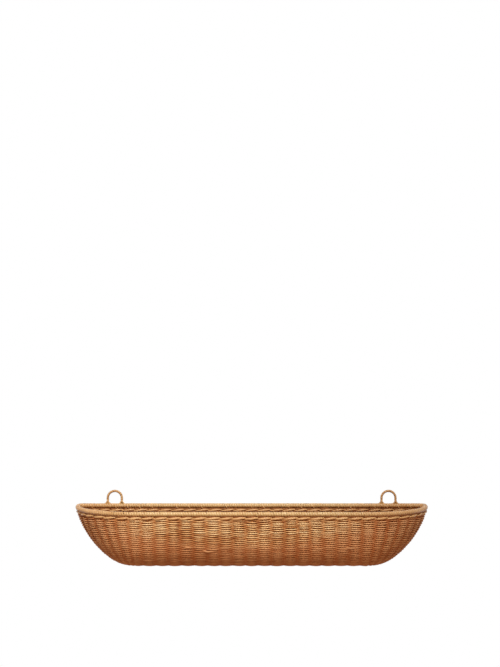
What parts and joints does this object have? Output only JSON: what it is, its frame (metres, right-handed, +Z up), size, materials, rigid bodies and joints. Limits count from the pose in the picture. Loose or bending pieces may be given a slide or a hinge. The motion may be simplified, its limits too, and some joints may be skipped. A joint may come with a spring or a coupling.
{
  "type": "wall basket",
  "caption": "Long low woven wall basket with a flat back, rounded ends, a wrapped rim and bent hanging loops on the back rim.",
  "frame": {"origin": "on the plane of the wall, midway between the hanging loops, at the height where two hooks carry the loops", "axes": "+X along the basket, left to right as seen from the room; +Y into the wall; +Z up"},
  "size_m": [0.8, 0.1625, 0.1618],
  "materials": {
    "weave": "fine round rattan weavers, satin, honey brown with dark gaps",
    "stake": "round rattan stakes, satin, a little darker than the weavers",
    "strand": "thicker round rattan strands, satin, light honey",
    "cane": "split cane with its glossy skin outward, light straw to honey",
    "rod": "bent rattan rod, matt"
  },
  "bodies": {
    "root": {"rim_rod": "rod", "rim_wrapping": "cane", "first_twining_strand": "strand", "second_twining_strand": "strand", "straight_stake_01": "stake", "straight_stake_02": "stake", "straight_stake_03": "stake", "straight_stake_04": "stake", "straight_stake_05": "stake", "straight_stake_06": "stake", "straight_stake_07": "stake", "straight_stake_08": "stake", "straight_stake_09": "stake", "straight_stake_10": "stake", "straight_stake_11": "stake", "straight_stake_12": "stake", "straight_stake_13": "stake", "straight_stake_14": "stake", "straight_stake_15": "stake", "straight_stake_16": "stake", "straight_stake_17": "stake", "straight_stake_18": "stake", "straight_stake_19": "stake", "left_fan_stake_1": "stake", "left_fan_stake_2": "stake", "left_fan_stake_3": "stake", "left_fan_stake_4": "stake", "left_fan_stake_5": "stake", "left_fan_stake_6": "stake", "left_fan_stake_7": "stake", "left_corner_stake": "stake", "left_side_stake_1": "stake", "left_side_stake_2": "stake", "left_side_stake_3": "stake", "left_side_stake_4": "stake", "right_fan_stake_1": "stake", "right_fan_stake_2": "stake", "right_fan_stake_3": "stake", "right_fan_stake_4": "stake", "right_fan_stake_5": "stake", "right_fan_stake_6": "stake", "right_fan_stake_7": "stake", "right_corner_stake": "stake", "right_side_stake_1": "stake", "right_side_stake_2": "stake", "right_side_stake_3": "stake", "right_side_stake_4": "stake", "front_weave_outside": "weave", "front_weave_inside": "weave", "left_end_weave_outside": "weave", "left_end_weave_inside": "weave", "right_end_weave_outside": "weave", "right_end_weave_inside": "weave", "back_weave_outside": "weave", "back_weave_inside": "weave", "left_loop_core": "rod", "left_loop_winding": "cane", "right_loop_core": "rod", "right_loop_winding": "cane"}
  },
  "joints": []
}
